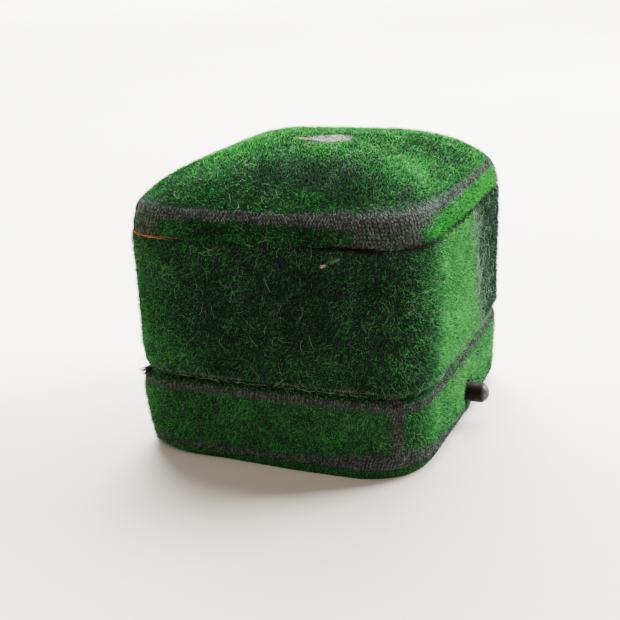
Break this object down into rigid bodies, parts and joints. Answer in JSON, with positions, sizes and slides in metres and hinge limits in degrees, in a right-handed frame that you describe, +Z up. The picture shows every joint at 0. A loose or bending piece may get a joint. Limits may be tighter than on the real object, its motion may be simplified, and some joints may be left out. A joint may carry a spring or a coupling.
{
  "type": "ring box",
  "caption": "Square velvet-covered ring box with a domed hinged lid, a push-button catch on the front and padded rolls inside that hold a ring.",
  "frame": {"origin": "on the floor under the middle of the box, at the centre of its standing face", "axes": "+Z up through the lid, -Y towards the front with the button, +Y towards the hinge"},
  "size_m": [0.0488, 0.0484, 0.0431],
  "materials": {
    "velvet": "green cotton pile velvet, brushed both ways and worn to the backing on the ridges",
    "wood": "plain softwood, unfinished inside",
    "brass": "thin sheet brass, dulled",
    "steel": "spring steel, darkened",
    "button_bronze": "dark bronzed metal, worn at the edge",
    "button_end": "grey domed pin end",
    "satin": "ivory satin",
    "pad_velvet": "ivory pad velvet over wadding",
    "card": "grey brown board"
  },
  "bodies": {
    "base": {"base_tray": "wood", "base_side_velvet": "velvet", "base_bottom_velvet": "velvet", "base_rim_plate": "brass", "base_collar": "satin", "pad_card": "card", "ring_pad_front": "pad_velvet", "ring_pad_back": "pad_velvet", "hinge_base_leaf": "brass", "hinge_pin": "steel", "hinge_base_nail_1": "brass", "hinge_base_nail_2": "brass", "hinge_base_nail_3": "brass", "button_bush": "brass", "spring_block": "brass", "leaf_spring": "steel", "spring_rivet": "brass"},
    "button": {"button_barrel": "button_bronze", "button_plunger": "button_end"},
    "catch": {"catch_hook": "steel"},
    "lid": {"lid_wall": "wood", "lid_top_block": "wood", "lid_side_velvet": "velvet", "lid_top_velvet": "velvet", "lid_rim_plate": "brass", "lid_lining": "satin", "lid_pad_card": "card", "lid_satin_pad": "satin", "striker": "brass", "striker_rivet_1": "brass", "striker_rivet_2": "brass", "hinge_lid_leaf": "brass", "hinge_lid_nail_1": "brass", "hinge_lid_nail_2": "brass", "hinge_lid_nail_3": "brass"}
  },
  "joints": [
    {"name": "lid_hinge", "type": "hinge", "parent": "base", "child": "lid", "pos_m": [0, 0.0216, 0.01225], "axis": [-1, 0, 0], "range_deg": [0, 95]},
    {"name": "button_press", "type": "slide", "parent": "base", "child": "button", "axis": [0, 1, 0], "range_m": [0, 0.0012], "stiffness_N_per_m": 400, "springref_m": -0.0006},
    {"name": "catch_flex", "type": "hinge", "parent": "base", "child": "catch", "pos_m": [0.00977, -0.0178, 0.0048], "axis": [0, 0, -1], "range_deg": [0, 7.1], "deforming": ["leaf_spring"]}
  ],
  "couplings": [
    {"joint": "catch_flex", "follows": "button_press", "rad_per_m": 102.39}
  ]
}
